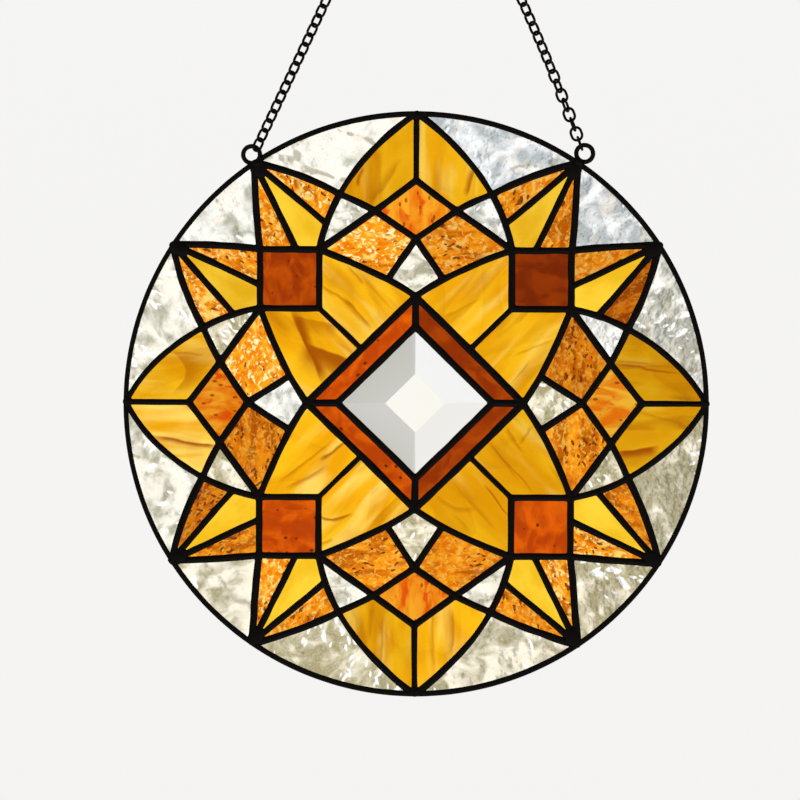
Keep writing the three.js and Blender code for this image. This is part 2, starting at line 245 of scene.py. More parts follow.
def lattice_value(ix, iz, seed):
    """A repeatable number from -1 to 1 for each lattice corner."""
    mixed = ix * 374761393 + iz * 668265263 + seed * 974711
    mixed = (mixed ^ (mixed >> 13)) * 1274126177 & 0x7FFFFFFF
    mixed = (mixed ^ (mixed >> 16)) & 0xFFFF
    return mixed / 32767.5 - 1


NEIGHBOURS = [(dx, dz) for dx in (-1, 0, 1) for dz in (-1, 0, 1)]


def in_cells(x, z, size):
    """The points measured in cells of this size, and the cell that each is in."""
    x, z = np.asarray(x) / size, np.asarray(z) / size
    return x, z, np.floor(x).astype(np.int64), np.floor(z).astype(np.int64)


def noise(x, z, size, seed):
    """Smooth noise from -1 to 1, with features about this size across."""
    x, z, ix, iz = in_cells(x, z, size)
    fx, fz = x - ix, z - iz
    fx, fz = fx**3 * (fx * (fx * 6 - 15) + 10), fz**3 * (fz * (fz * 6 - 15) + 10)
    low = lattice_value(ix, iz, seed) * (1 - fx) + lattice_value(ix + 1, iz, seed) * fx
    high = lattice_value(ix, iz + 1, seed) * (1 - fx) + lattice_value(ix + 1, iz + 1, seed) * fx
    return low * (1 - fz) + high * fz


def dimples(x, z, size, seed):
    """Round hollows about this size across: 0 in each middle and up to 1 between them."""
    x, z, ix, iz = in_cells(x, z, size)
    scatter, far = 0.42, 9.0
    nearest = np.full(x.shape, far)
    for dx, dz in NEIGHBOURS:
        cx = ix + dx + 0.5 + scatter * lattice_value(ix + dx, iz + dz, seed)
        cz = iz + dz + 0.5 + scatter * lattice_value(ix + dx, iz + dz, seed + 7)
        nearest = np.minimum(nearest, (x - cx) ** 2 + (z - cz) ** 2)
    return np.minimum(nearest, 1.0)


def strokes(x, z, size, slope, seed, share):
    """Short curved ridges up to 1 high, in this share of the cells, mostly along one slope."""
    x, z, ix, iz = in_cells(x, z, size)
    scatter, fan, half_length, half_width = 0.45, 0.6, 0.36, 0.13
    total = np.zeros(x.shape)
    for dx, dz in NEIGHBOURS:
        jx, jz = ix + dx, iz + dz
        chance = lattice_value(jx, jz, seed + 5)
        angle = slope + fan * lattice_value(jx, jz, seed + 2)
        to_x = x - (jx + 0.5 + scatter * lattice_value(jx, jz, seed))
        to_z = z - (jz + 0.5 + scatter * lattice_value(jx, jz, seed + 1))
        along = to_x * np.cos(angle) + to_z * np.sin(angle)
        across = to_z * np.cos(angle) - to_x * np.sin(angle)
        across = across + 0.5 * along**2 * lattice_value(jx, jz, seed + 3)
        height = 0.65 + 0.35 * lattice_value(jx, jz, seed + 4)
        ridge = height * np.exp(-((along / half_length) ** 2) - (across / half_width) ** 2)
        total += np.where(chance < 2 * share - 1, ridge, 0)
    return total


# ---------------- outlines

SAMPLE = 1.6                   # spacing of points along a seam
NEARLY_STRAIGHT = 0.05         # the sine of the angle under which two sides make no corner
CROWDING = 0.55                # how much closer together they are near its ends
WIDTH_CHANGE = 0.09            # how much a bead's width varies along it
HAND_WOBBLE = 0.3              # how far hand cutting puts a point off
RIM_HOLD = 12                  # within this of the rim, points only slide along it
# How the whole pattern was set: its shift, its stretch across and upwards, and its turn.
SET_SHIFT, SET_STRETCH, SET_TWIST = (-0.5, 0.4), (0.007, -0.011), 0.0035


def side_points(p, q, bow, count):
    """Points along a bowed side, closer together near its ends."""
    step = np.arange(count)[:, None] / count
    share = step - CROWDING * np.sin(2 * math.pi * step) / (2 * math.pi)
    return bowed(p, q, bow, share)


def foot_corner(before, after):
    """Where the inner edges of two sides meet."""
    d0, d1 = before.direction(True), after.direction(False)
    a = before.q + left_of(d0) * before.half
    b = after.p + left_of(d1) * after.half
    cross = d0[0] * d1[1] - d0[1] * d1[0]
    if abs(cross) < NEARLY_STRAIGHT:
        return (a + b) / 2
    gap = b - a
    return a + d0 * (gap[0] * d1[1] - gap[1] * d1[0]) / cross


class Outline:
    """A pane's seam centre line and the foot of its solder, point for point."""

    def __init__(self, sides):
        centre, foot, rim = [], [], []
        for i, side in enumerate(sides):
            start = foot_corner(sides[i - 1], side)
            end = foot_corner(side, sides[(i + 1) % len(sides)])
            length = math.hypot(*(side.q - side.p))
            count = max(2, round(length / SAMPLE))
            shorter = math.hypot(*(end - start)) / length
            centre.append(side_points(side.p, side.q, side.bow, count))
            foot.append(side_points(start, end, side.bow * shorter**2, count))
            rim += [side.under_rim] * count
        self.centre = np.concatenate(centre)
        self.foot = np.concatenate(foot)
        self.under_rim = np.array(rim)
        around = np.roll(self.foot, 1, axis=0) + np.roll(self.foot, -1, axis=0)
        self.foot = self.foot / 2 + around / 4
        width = 1 + WIDTH_CHANGE * noise(self.foot[:, 0], self.foot[:, 1], 7, 3)
        self.foot = self.centre + (self.foot - self.centre) * width[:, None]

    def ring(self, share):
        return self.centre + (self.foot - self.centre) * share


def warped(points):
    """The slight unevenness of hand cutting and setting, the same for glass and solder."""
    x, z = points[:, 0], points[:, 1]
    moved = HAND_WOBBLE * np.stack([noise(x, z, 31, 11), noise(x, z, 31, 12)], axis=1)
    moved[:, 0] += SET_SHIFT[0] + SET_STRETCH[0] * x + SET_TWIST * z
    moved[:, 1] += SET_SHIFT[1] + SET_STRETCH[1] * z - SET_TWIST * x
    radius = np.hypot(x, z)
    result = points + moved
    held = np.clip(1 - (PATTERN_RADIUS - radius) / RIM_HOLD, 0, 1)
    back = radius / np.maximum(np.hypot(result[:, 0], result[:, 1]), 1e-6)
    return result * (1 + held * (back - 1))[:, None]


def in_space(points, depth):
    """Panel points in millimetres as vertices in metres."""
    points = warped(points)
    depth = np.broadcast_to(depth, len(points))
    return np.stack([points[:, 0] * MM, depth * MM, points[:, 1] * MM + CENTRE_Z], axis=1)


# ---------------- meshes


def in_scene(name, data):
    made = bpy.data.objects.new(name, data)
    bpy.context.scene.collection.objects.link(made)
    return made


def new_piece(name, mesh, material, nodes, smooth=True):
    """A finished piece: it rides on the one body and stands for these CAD nodes."""
    piece = in_scene(name, mesh)
    mesh.materials.append(material)
    if smooth:
        mesh.shade_smooth()
    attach(piece, "root")
    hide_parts(*nodes)
    return piece


def mesh_from(name, vertices, faces):
    mesh = bpy.data.meshes.new(name)
    mesh.from_pydata([tuple(v) for v in vertices], [], faces)
    mesh.validate()
    return mesh


def tidy_solid(mesh, join=0.02 * MM):
    """Joins points closer than this and turns every face outwards."""
    work = bmesh.new()
    work.from_mesh(mesh)
    bmesh.ops.remove_doubles(work, verts=work.verts, dist=join)
    bmesh.ops.recalc_face_normals(work, faces=work.faces)
    work.to_mesh(mesh)
    work.free()


def loop_strip(start_a, start_b, count):
    """Quads between two closed rings of vertices."""
    return [
        (start_a + i, start_a + (i + 1) % count, start_b + (i + 1) % count, start_b + i)
        for i in range(count)
    ]


# ---------------- solder

BEAD_RINGS = 5
USUAL_CREST = 0.94             # a bead's mean rise as a share of the full one
RISE_UNDER_RIM = 0.3           # the bead's height where the rim covers it


def bead_height(points, under_rim):
    """How high the crest stands over the foot at these points."""
    x, z = points[:, 0], points[:, 1]
    lumps = 0.05 * noise(x, z, 9, 21) + 0.03 * noise(x, z, 3, 22)
    return np.where(under_rim, RISE_UNDER_RIM, (CREST - FOOT_DEPTH) * (USUAL_CREST + lumps))


def solder_rings(outline):
    """Rings from the front crest down to the glass, through the seam and up to the back crest."""
    height = bead_height(outline.centre, outline.under_rim)
    front = []
    for k in range(BEAD_RINGS + 1):
        angle = k / BEAD_RINGS * math.pi / 2
        front.append((outline.ring(math.sin(angle)), FOOT_DEPTH + height * math.cos(angle)))
    front.append((outline.ring(CORE_SHARE), FOOT_DEPTH))
    rings = [in_space(points, -np.asarray(depth)) for points, depth in front]
    rings += [in_space(points, np.asarray(depth)) for points, depth in reversed(front)]
    return rings


def make_solder(outlines, material):
    vertices, faces, start = [], [], 0
    for outline in outlines:
        rings = solder_rings(outline)
        count = len(outline.centre)
        for k in range(len(rings) - 1):
            faces += loop_strip(start + k * count, start + (k + 1) * count, count)
        back = start + (len(rings) - 1) * count
        for i in np.flatnonzero(outline.under_rim):
            j = (i + 1) % count
            faces.append((start + i, start + j, back + j, back + i))
        vertices.append(np.concatenate(rings))
        start += count * len(rings)
    mesh = mesh_from("solder", np.concatenate(vertices), [tuple(int(i) for i in f) for f in faces])
    tidy_solid(mesh)
    return new_piece("solder_lattice_beads", mesh, material, ["solder_lattice"])


# ---------------- glass


EDGE_GAP = 0.6                 # the field keeps this share of its spacing clear of the edge
BACK_RELIEF = 0.5              # how strong the relief is on the back
SHARP_EDGE = math.radians(50)


def inside(points, polygon):
    """Whether each point lies in the polygon."""
    x, z = points[:, :1], points[:, 1:]
    x0, z0 = polygon[:, 0], polygon[:, 1]
    x1, z1 = np.roll(x0, -1), np.roll(z0, -1)
    crosses = (z0 > z) != (z1 > z)
    with np.errstate(divide="ignore", invalid="ignore"):
        reach = (x1 - x0) * (z - z0) / (z1 - z0) + x0
    return (np.sum(crosses & (x < reach), axis=1) % 2).astype(bool)


def filled(polygon, spacing):
    """A triangulated sheet: the polygon's own points first, then an even field inside."""
    low, high = polygon.min(axis=0), polygon.max(axis=0)
    rows = np.arange(low[1], high[1], spacing * math.sqrt(3) / 2)
    field = []
    for i, z in enumerate(rows):
        x = np.arange(low[0] + (i % 2) * spacing / 2, high[0], spacing)
        field.append(np.stack([x, np.full(len(x), z)], axis=1))
    field = np.concatenate(field)
    field = field[inside(field, polygon)]
    gaps = np.min(np.hypot(field[:, :1] - polygon[:, 0], field[:, 1:] - polygon[:, 1]), axis=1)
    points = np.concatenate([polygon, field[gaps > spacing * EDGE_GAP]])
    border = list(range(len(polygon)))
    result = delaunay_2d_cdt([Vector(p) for p in points], [], [border], 1, 1e-6)
    return np.array([tuple(v) for v in result[0]]), [tuple(face) for face in result[2]]


def water_relief(u, v, seed, lively):
    """Where lively, broad swells with clear strokes; where calm, meandering veins of crinkled glass."""
    bend = 5 * noise(u, v, 21, seed + 1)
    bundle = np.clip(0.55 + 1.5 * noise(u, v, 17, seed + 3), 0, 1)
    broad = strokes(u, v, 9.5, 0.9, seed + 4, 0.1 + 0.7 * lively) * bundle
    short = strokes(u, v, 5.4, 1.1, seed + 9, 0.1 + 0.7 * lively) * bundle
    course = np.abs(noise(u + bend, v - bend, 27, seed + 2))
    crinkle = 0.5 + 0.5 * noise(u + bend, v, 2.6, seed + 6) + 0.3 * noise(u, v, 1.5, seed + 7)
    vein = np.clip(1 - 4.5 * course, 0, 1) * np.clip(crinkle, 0, 1) * (1 - 0.5 * lively)
    height = 0.16 * noise(u + bend, v, 15, seed) + 0.05 * noise(u, v + bend, 6.5, seed + 5)
    height += 0.20 * broad + 0.09 * short + 0.07 * vein
    # The strokes also mark where a painted highlight goes, and the veins where painted shade goes.
    return height, np.maximum(broad, short), vein


def pebble_relief(u, v, seed, lively):
    """Soft swells with a few clear strokes and hairlines."""
    bend = 2 * noise(u, v, 8, seed + 2)
    marks = strokes(u, v, 5.0, 0.9, seed + 4, 0.4)
    lines = strokes(u, v, 4.2, 1.3, seed + 8, 0.3) ** 2
    height = 0.09 * noise(u, v + bend, 6, seed + 1) + 0.06 * marks + 0.02 * lines
    # The strokes also mark where a painted highlight goes, and the hairlines where painted shade goes.
    return height, marks, lines


def hammered_relief(u, v, seed, lively):
    """Small dimples, whose bottoms mark a painted highlight where the tone is light; struck with short dark
    dents where deep.
    """
    bend = 2.5 * noise(u, v, 6, seed + 3)
    hollow = dimples(u + bend, v, 4.0, seed)
    bundle = np.clip(0.75 + 1.6 * noise(u, v, 11, seed + 6), 0, 1)
    dents = strokes(u, v, 5.0, 0.2, seed + 4, 0.9 - 0.6 * lively) * bundle
    dents = np.maximum(dents, strokes(u, v, 3.1, -0.3, seed + 8, 0.7 - 0.5 * lively) * bundle)
    height = 0.05 * hollow + 0.07 * noise(u, v + bend, 7, seed + 2) - 0.06 * dents
    return height, np.clip(1 - 3.2 * hollow, 0, 1), dents


def wispy_relief(u, v, seed, lively):
    return 0.03 * noise(u / 4, v, 3.2, seed) + 0.06 * noise(u, v, 15, seed + 1), 0 * u, 0 * u


def smooth_relief(u, v, seed, lively):
    return 0.03 * noise(u, v, 13, seed), 0 * u, 0 * u


def rolled_relief(u, v, seed, lively):
    return 0.05 * noise(u, v, 8, seed) + 0.02 * noise(u, v, 3, seed + 1), 0 * u, 0 * u


# How each kind of pane is made: its relief, mesh spacing, material, the CAD node that it is part
# of, its slot there, and the way its grain runs before it is turned, in degrees.
GLASS = {
    "border_strip": (rolled_relief, 1.6, "rust", "border_strip", "rust_glass", -45),
    "petal": (wispy_relief, 1.4, "wispy", "petal", "amber_glass", 45),
    "corner_square": (rolled_relief, 1.6, "rust", "corner_square", "rust_glass", 0),
    "clear_kite": (pebble_relief, 0.6, "pebble", "fan", "clear_glass", 0),
    "orange_kite": (hammered_relief, 0.6, "orange", "fan", "orange_glass", 0),
    "diamond": (rolled_relief, 1.4, "streaky", "diamond", "orange_glass", 90),
    "clear_triangle": (pebble_relief, 0.6, "pebble", "clear_triangle", "clear_glass", 0),
    "leaf": (wispy_relief, 1.4, "wispy", "leaf", "amber_glass", 90),
    "star_outer": (hammered_relief, 0.6, "orange", "star_point", "orange_glass", 60),
    "star_yellow": (smooth_relief, 2.2, "yellow", "star_point", "amber_glass", 60),
    "star_inner": (hammered_relief, 0.6, "orange", "star_point", "orange_glass", 60),
    "outer_clear": (water_relief, 0.52, "water", "outer_clear", "clear_glass", 20),
    "outer_clear_corner": (water_relief, 0.52, "water", "outer_clear_corner", "clear_glass", 20),
}

# How light each pane is, from 0 to 1, or for clear glass how lively, which also sets how much painted
# shade it has; for orange glass it also sets how much painted highlight it has. They go clockwise
# from the top or the upper right, and twins' mirror images come after.
TONES = {
    "border_strip": (0.27, 0.31, 0.75, 0.9),
    "corner_square": (0.05, 0.85, 0.8, 0.4),
    "petal": (0.6, 0.4, 0.9, 0.1, 0.45, 0.5, 0.4, 0.7),
    "leaf": (0.6, 0.3, 0.4, 0.65, 0.55, 0.2, 0.9, 1.4),
    "diamond": (0.6, 1.2, 0.5, 0.4),
    "orange_kite": (0.5, 0.3, 0.35, 1.0, 1.0, 0.3, 0.35, 0.15),
    "star_outer": (0.4, 0.6, 0.6, 0.6, 0.5, 0.5, 0.6, 0.2),
    "star_inner": (0.5, 0.2, 0.5, 0.7, 0.8, 0.1, 0.4, 0.1),
    "outer_clear": (0.5, 1.0, 0.85, 0.45, -0.1, 0.7, 0.5, 0.35),
    "outer_clear_corner": (0.75, 1.0, 0.5, 0.35),
    "clear_kite": (0.5, 0.7, 0.6, 0.4),
    "clear_triangle": (0.6, 0.9, 0.3, 0.85, 0.5, 0.4, 0.4, 0.7),
}

# How deep each pane's colour is, from 0 to 1, or for clear glass how warm its painted tint of what
# is seen through it is, in the same order.
DEPTHS = {
    "petal": (0.10, 0.40, 0.0, 0.1, 0.1, 0.2, 0.35, 0.0),
    "leaf": (0.3, 0.55, 0.35, 0.3, 0.45, 0.75, 0.0, 0.0),
    "orange_kite": (0.36, 0.15, 0.1, 0.0, 0.05, 0.56, 0.25, 0.43),
    "star_outer": (0.32, 0.0, 0.0, 0.15, 0.1, 0.5, 0.0, 0.3),
    "star_inner": (0.32, 0.25, 0.15, 0.1, 0.1, 0.9, 0.2, 0.6),
    "star_yellow": (0.45, 0.0, 0.0, 0.5, 0.2, 0.1, 0.0, 0.1),
    "diamond": (0.15, 0.3, 0.2, 0.4),
    "outer_clear": (0.0, 0.9, 1.0, 0.7, 0.5, 0.5, 0.9, 0.7),
    "outer_clear_corner": (0.1, 1.0, 0.9, 0.5),
    "clear_kite": (0.7, 1.0, 1.0, 0.4),
    "clear_triangle": (0.3, 1.0, 0.7, 1.0, 0.6, 0.3, 0.7, 1.0),
}

# Brown veins in the wispy glass, sharp on their left and soft on their right: from where to
# where on the panel, how far each bows to its right, how far it fades, and how strong it is.
NO_VEIN = ((0, 0), (1, 0), 0, 1, 0)
MOST_VEINS = 3
VEINS = {
    "leaf_top_right": [((29, 121), (25.6, 108.5), 0, 3, 0.8)],
    "leaf_top_left": [
        ((-8.7, 123.6), (-22, 103.5), 0, 4, 0.45), ((-30.1, 112.9), (-28, 122), 0, 2, 0.8),
    ],
    "leaf_right_top": [
        ((101.9, 20.7), (132.1, 16), 0, 0.9, 0.85), ((102.6, 22.7), (120, 21.7), 0, 1.6, 0.5),
    ],
    "leaf_right_bottom": [
        ((103, -25), (122, -22), 0, 7, 1.0), ((115, -3.4), (140.6, -12.7), 0, 2.2, 0.3),
    ],
    "leaf_bottom_right": [
        ((9.4, -100.8), (9.9, -135.7), 0, 2.4, 0.4), ((19.5, -108.5), (18.6, -129), 0, 2.6, 0.5),
    ],
    "leaf_bottom_left": [
        ((-15.7, -112.6), (-15.7, -135.7), 0, 2.8, 0.45), ((-20.9, -106), (-22.4, -121), 0, 3, 0.35),
    ],
    "leaf_left_bottom": [((-130.7, -18.7), (-102, -22.9), 0, 2.6, 0.95)],
    "leaf_left_top": [
        ((-123.1, 6), (-123.9, 25.5), 6.8, 14, 0.5), ((-123.9, 25.5), (-108.5, 25.1), 0, 1.6, 0.45),
    ],
    "petal_top_right": [((13.9, 44.6), (32.3, 54.3), 0, 2, 0.3)],
    "petal_right_top": [
        ((51.5, 25.8), (69.1, 32.5), 0, 1.6, 0.35), ((49, 10.8), (58.2, 20.8), 0, 0.9, 0.4),
    ],
    "petal_right_bottom": [
        ((47.4, -12.8), (54.1, -24.4), 0, 2.6, 0.45), ((39, -21.9), (57.9, -44.5), 0, 0.9, 0.5),
        ((60, -12.8), (54.1, -21.1), 0, 2, 0.45),
    ],
    "petal_bottom_right": [
        ((12.2, -47.9), (29.8, -54.2), 2, 3, 0.35), ((46.9, -57.9), (35.7, -43.7), 0, 1.1, 0.75),
    ],
    "petal_bottom_left": [
        ((-49.2, -58.6), (-33, -58.6), 2, 1.7, 0.85), ((-38, -36), (-26.2, -29.3), 0, 2, 0.45),
        ((-48.8, -72.8), (-42.1, -70.3), 0, 2, 0.5),
    ],
    "petal_left_bottom": [
        ((-67.2, -39.4), (-44.6, -21.8), 0, 1.8, 0.5), ((-48, -29.3), (-36.3, -21), 0, 1.6, 0.85),
        ((-64.7, -43.6), (-46.3, -33.5), 0, 2.2, 0.5),
    ],
    "petal_left_top": [
        ((-48.9, 12.4), (-62.3, 46.7), 0, 4.5, 1.0), ((-61.4, 44.6), (-40.5, 39.2), 0, 8, 0.5),
        ((-54.7, 30.8), (-33.8, 21.6), 0, 16, 0.95),
    ],
    "petal_top_left": [
        ((-47.2, 60.9), (-32.1, 50.9), 0, 2.6, 0.5), ((-35.5, 53.4), (-23.8, 39.2), 0, 2.6, 0.6),
        ((-33, 70.2), (-27.1, 61.8), 0, 2, 0.5),
    ],
}


def vein_field(sheet, start, end, bow, soft, strength):
    """For each point, how far it is to the vein's right, how strong the vein is there, how soft."""
    way = np.subtract(end, start)
    length = math.hypot(*way)
    offset = sheet - np.array(start)
    share = offset @ way / length**2
    side = (offset[:, 0] * way[1] - offset[:, 1] * way[0]) / length
    held = np.clip(share, 0, 1)
    side = side - 4 * bow * held * (1 - held)
    fade = np.clip(4 * share + 0.5, 0, 1) * np.clip(4.5 - 4 * share, 0, 1)
    return np.stack([side, strength * fade, np.full(len(sheet), float(soft))], axis=1)


def cad_node(stem, name):
    """The CAD node that a pane is part of: fans and leaves are named by the axis, petals by the diagonal."""
    if stem in ("fan", "leaf"):
        return f"{stem}_{name.split('_')[0]}"
    if stem == "petal":
        return f"{stem}_{TWIN_DIAGONAL[name]}"
    return f"{stem}_{name}"


def add_field(mesh, label, values):
    """Gives a sheet a number or a vector for each point, the same on its back."""
    kind, key = ("FLOAT", "value") if values.ndim == 1 else ("FLOAT_VECTOR", "vector")
    field = mesh.attributes.new(label, kind, "POINT")
    field.data.foreach_set(key, np.concatenate([values, values]).astype(np.float32).ravel())


def make_pane(kind, name, index, matrix, outline, seed, materials):
    """A sheet of glass with its relief, and the fields that its material reads."""
    relief, spacing, finish, stem, slot, grain = GLASS[kind]
    sheet, triangles = filled(outline.ring(GLASS_SHARE), spacing)
    border = len(outline.centre)
    own = sheet @ matrix       # the turn's inverse is its transpose
    angle = math.radians(grain)
    u = own[:, 0] * math.cos(angle) + own[:, 1] * math.sin(angle)
    v = own[:, 1] * math.cos(angle) - own[:, 0] * math.sin(angle)
    shift = 200 * lattice_value(np.int64(seed), np.int64(5), 1)
    lightness = TONES.get(kind, (0.5,) * 8)[index]
    height, pale, dark = relief(u + shift, v - shift, seed, lightness)
    back_height = relief(u - shift, v + shift, seed + 50, lightness)[0]
    front, back = -GLASS_HALF - height, GLASS_HALF + BACK_RELIEF * back_height
    count = len(sheet)
    faces = [tuple(face) for face in triangles]
    faces += [(count + c, count + b, count + a) for a, b, c in triangles]
    walls = [(i, i + count, (i + 1) % border + count, (i + 1) % border) for i in range(border)]
    vertices = np.concatenate([in_space(sheet, front), in_space(sheet, back)])
    mesh = mesh_from(f"{kind}_{name}", vertices, faces + walls)
    mesh.shade_smooth()
    mesh.set_sharp_from_angle(angle=SHARP_EDGE)
    add_field(mesh, "grain", np.stack([u + shift, v - shift, np.full(count, seed * 3.7)], axis=1))
    if finish == "wispy":
        veins = VEINS[f"{kind}_{name}"] + [NO_VEIN] * MOST_VEINS
        for i in range(MOST_VEINS):
            add_field(mesh, f"vein_{i}", vein_field(sheet, *veins[i]))
    # Where a painted highlight goes, and where painted shade goes on clear glass or dark dents on orange
    # glass.
    add_field(mesh, "pale", pale)
    add_field(mesh, "dark", dark)
    add_field(mesh, "tone", np.full(count, float(lightness)))
    add_field(mesh, "depth", np.full(count, float(DEPTHS.get(kind, (0,) * 8)[index])))
    node = cad_node(stem, name)
    return new_piece(f"pane_{kind}_{name}", mesh, materials[finish], [node], smooth=False)


RIDGE = 0.022                  # how wide the bevel's rounded ridges are, as a share of a side
BEVEL_EDGE, BEVEL_FOOT = 0.8, 1.9         # how far in from the seam's middle each is
BEVEL_LIP = 0.4                # how far its front edge lies back from the other panes' faces
BEVEL_TOP = 15.2               # from the centre to a corner of the raised square
BEVEL_RISE, BEVEL_CROWN = 2.2, 0.03       # how high it slopes, and how much the slope bulges
BEVEL_SHARP_EDGE = math.radians(3)


def make_bevel(material):
    """The centre square: a thick plate whose front slopes up to a small raised square."""
    edge = BORDER_INNER - BEVEL_EDGE * math.sqrt(2)
    foot = BORDER_INNER - BEVEL_FOOT * math.sqrt(2)
    steps, per_side = 12, 16
    levels = [(edge, GLASS_HALF), (edge, -GLASS_HALF + BEVEL_LIP)]
    for k in range(steps + 1):
        t = k / steps
        crown = BEVEL_RISE * (t + BEVEL_CROWN * t * (1 - t) * 4)
        levels.append((foot + (BEVEL_TOP - foot) * t, -GLASS_HALF - crown))
    corners = np.array([[0, 1], [-1, 0], [0, -1], [1, 0]], dtype=float)
    share = np.array([0, RIDGE, *np.arange(1, per_side) / per_side, 1 - RIDGE])[:, None]
    square = np.concatenate(
        [corners[i] * (1 - share) + corners[(i + 1) % 4] * share for i in range(4)]
    )
    square[:: len(share)] *= 1 - RIDGE / 3
    count = len(square)
    rings = [in_space(square * reach, depth) for reach, depth in levels]
    faces = [tuple(range(count)), tuple(reversed(range(count * (len(levels) - 1), count * len(levels))))]
    for k in range(len(levels) - 1):
        faces += loop_strip(count * k, count * (k + 1), count)
    mesh = mesh_from("bevel", np.concatenate(rings), faces)
    tidy_solid(mesh)
    mesh.shade_smooth()
    mesh.set_sharp_from_angle(angle=BEVEL_SHARP_EDGE)
    return new_piece(
        "pane_bevel_centre", mesh, material, ["bevel_centre"], smooth=False
    )


# ---------------- rim and joints


RIM_FLANGE, RIM_WEB, RIM_ROUNDING = 0.75, 1.0, 0.5      # its thicknesses, and its edges' radius
RIM_WAVE, WAVE_RADIUS = 0.05, 150         # its unevenness, from noise read on this circle


def make_rim(material):
    """A U-shaped came with rounded edges, open towards the glass."""
    inner, outer, half = DISC_RADIUS - RIM_WIDTH, DISC_RADIUS, RIM_HALF_DEPTH
    channel, web, edge = half - RIM_FLANGE, outer - RIM_WEB, RIM_ROUNDING
    turn = [(1 - math.cos(a), 1 - math.sin(a)) for a in np.linspace(0, math.pi / 2, 4)]
    front = [(inner + edge * a, -half + edge * b) for a, b in turn]
    front += [(outer - edge * b, -half + edge * a) for a, b in turn]
    profile = front + [(r, -y) for r, y in reversed(front)]
    profile += [(inner, channel), (web, channel), (web, -channel), (inner, -channel)]
    steps = 360
    bearing = np.arange(steps) * 2 * math.pi / steps
    rings = []
    for r, y in profile:
        wave = noise(np.cos(bearing) * WAVE_RADIUS + y, np.sin(bearing) * WAVE_RADIUS + r, 8, 31)
        radius = np.minimum(r + RIM_WAVE * wave, DISC_RADIUS)
        depth = np.full(steps, float(y))
        points = np.stack([radius * np.sin(bearing), radius * np.cos(bearing)], axis=1)
        rings.append(in_space(points, depth))
    faces = []
    for k in range(len(profile)):
        faces += loop_strip(k * steps, (k + 1) % len(profile) * steps, steps)
    mesh = mesh_from("rim", np.concatenate(rings), faces)
    tidy_solid(mesh)
    return new_piece("rim_came", mesh, material, ["rim"])


def blob(centre, across, along, deep, bearing, seed):
    """A lump of solder as a bmesh: a squashed ball with an uneven surface."""
    work = bmesh.new()
    bmesh.ops.create_icosphere(work, subdivisions=3, radius=1)
    spin = Matrix.Rotation(bearing, 4, "Y")
    for vert in work.verts:
        co = np.array(vert.co)
        lump = 1 + 0.10 * float(noise(co[0] * 9 + seed, co[2] * 9 + co[1] * 5, 6, seed))
        vert.co = spin @ Vector((co[0] * across, co[1] * deep, co[2] * along)) * lump * MM
        vert.co += Vector(centre)
    return work


def merged(name, parts):
    """One mesh from several bmeshes."""
    mesh = bpy.data.meshes.new(name)
    whole = bmesh.new()
    for part in parts:
        part.to_mesh(mesh)
        part.free()
        whole.from_mesh(mesh)
    bmesh.ops.recalc_face_normals(whole, faces=whole.faces)
    whole.to_mesh(mesh)
    whole.free()
    return mesh


# Half the width and length of the dabs at the leaf tips and at the star tips.
LEAF_DAB, STAR_DAB = (2.6, 2.6), (3.9, 5.4)
DAB_DEPTH, DAB_SUNK, DAB_OVER_RIM = 0.95, 0.5, 0.4


def make_joints(material):
    """Solder dabs, front and back, where the seams run into the rim."""
    bearings = [k * math.pi / 2 for k in range(4)]
    bearings += [b + side * STAR_BEARING for b in bearings for side in (-1, 1)]
    parts = []
    for i, bearing in enumerate(bearings):
        across, along = LEAF_DAB if i < 4 else STAR_DAB
        for side in (-1, 1):
            place = np.array([polar(bearing, DISC_RADIUS - along + DAB_OVER_RIM)])
            centre = in_space(place, side * (CREST - DAB_SUNK))[0]
            parts.append(blob(centre, across, along, DAB_DEPTH, bearing, 40 + i))
    return new_piece("solder_joints", merged("joints", parts), material, [])


# ---------------- what it hangs by

LOOP_BEARING = math.radians(33.8)
LOOP_OUT = 4.5                 # how far outside the rim the loops' centres are
LOOP_CENTRE = polar(LOOP_BEARING, DISC_RADIUS + LOOP_OUT)
LOOP_OUTER, RING_OUTER, RING_WIRE = 5.5, 6.5, 2.4
LINK_PITCH, LINK_WIDTH, LINK_WIRE = 5.4, 6.8, 1.4
CAD_RING_WIRE, CAD_LINK_WIRE = 1.9, 1.0   # CAD's wire is thinner, and its chains set the places
LINKS_PER_CHAIN, TWISTED_LINKS = 36, 9
LOOP_SHIFT = {"left": (1.6, -0.7), "right": (0.4, -0.1)}      # how far off hand soldering put it
CHAIN_SHIFT = {"left": (2.5, -0.7), "right": (0.4, -0.1)}     # how far off the chain's foot is
RING_END_SHIFT = {"left": (1.6, -0.4), "right": (1.6, 1.0)}   # how far off its upper end is
CHAIN_BOW = {"left": 0.4, "right": 4.2}                       # how far its middle is to the right
RING_GAP = 0.6                 # a chain's end link stands this far clear of the CAD ring
LINK_END = (LINK_PITCH + CAD_LINK_WIRE) / 2
LOOP_DAB, LOOP_DAB_LOW = (3.6, 2.5, 3.4), 5.6     # the loop's solder, and how far below its centre


def reach_from(outer):
    """How far a chain's end link is from the middle of a ring of this outer radius."""
    return outer - CAD_RING_WIRE - CAD_LINK_WIRE / 2 - RING_GAP + LINK_END


CHAIN_LENGTH = reach_from(LOOP_OUTER) + reach_from(RING_OUTER) + LINK_PITCH * (LINKS_PER_CHAIN - 1)
CHAIN_LEAN = math.asin(LOOP_CENTRE[0] / CHAIN_LENGTH)
RING_CENTRE_Z = CENTRE_Z + (LOOP_CENTRE[1] + CHAIN_LENGTH * math.cos(CHAIN_LEAN)) * MM


